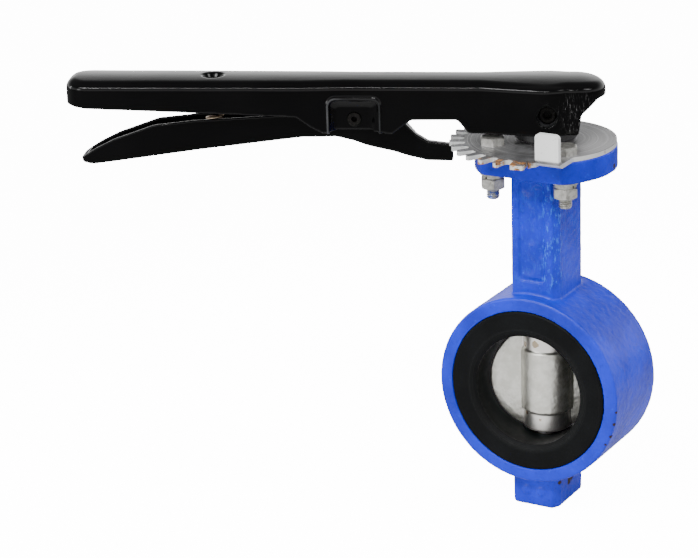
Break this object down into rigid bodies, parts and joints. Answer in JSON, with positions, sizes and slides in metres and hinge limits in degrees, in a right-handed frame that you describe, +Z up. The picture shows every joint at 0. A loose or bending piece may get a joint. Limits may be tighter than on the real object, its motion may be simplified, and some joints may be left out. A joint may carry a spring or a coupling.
{
  "type": "wafer butterfly valve",
  "caption": "Wafer butterfly valve with a rubber-lined bore, a disc on a vertical stem, a notched position plate and a long lever with a squeeze trigger.",
  "frame": {"origin": "centre of the bore, where the pipe axis crosses the stem axis, halfway between the two flange faces", "axes": "+Z up the stem axis towards the lever, +Y along the pipe axis, +X across; the lever points along -X when the valve is shut and along -Y when it is open"},
  "size_m": [0.2451, 0.1235, 0.2014],
  "materials": {
    "blue_paint": "satin spray paint over rough grey-iron casting",
    "epdm_rubber": "matt moulded rubber",
    "zinc_plate": "dull zinc plating over a stamped steel sheet",
    "fastener_zinc": "bright zinc plating",
    "cast_stainless": "blasted stainless casting",
    "stem_steel": "turned stainless bar",
    "bush_bronze": "turned bronze",
    "spring_steel": "drawn spring wire",
    "black_enamel": "gloss black enamel",
    "hub_black": "satin black enamel",
    "black_oxide": "black oxide, oiled"
  },
  "bodies": {
    "valve_frame": {"valve_body": "blue_paint", "seat_liner": "epdm_rubber", "upper_bush": "bush_bronze", "lower_bush": "bush_bronze", "lug_bush": "bush_bronze", "thrust_washer": "stem_steel", "stem_o_rings": "epdm_rubber", "notch_plate": "zinc_plate", "plate_bolts": "fastener_zinc", "flat_washers": "fastener_zinc", "spring_washers": "fastener_zinc", "plate_nuts": "fastener_zinc"},
    "lever_and_disc": {"disc": "cast_stainless", "upper_stem": "stem_steel", "lower_stem": "stem_steel", "stem_circlip": "spring_steel", "lever": "black_enamel", "lever_hub": "hub_black", "hub_set_screw": "black_oxide", "pivot_pin": "black_oxide", "trigger_spring": "spring_steel"},
    "squeeze_trigger": {"trigger": "black_enamel"}
  },
  "joints": [
    {"name": "handle_turn", "type": "hinge", "parent": "valve_frame", "child": "lever_and_disc", "pos_m": [0, 0, 0], "axis": [0, 0, 1], "range_deg": [-22.5, 67.5]},
    {"name": "trigger_squeeze", "type": "hinge", "parent": "lever_and_disc", "child": "squeeze_trigger", "pos_m": [-0.07798, -0.0323, 0.1244], "axis": [-0.3827, 0.9239, 0], "range_deg": [0, 9], "stiffness_Nm_per_rad": 3, "springref_deg": -5.73, "deforming": ["trigger_spring"]}
  ]
}
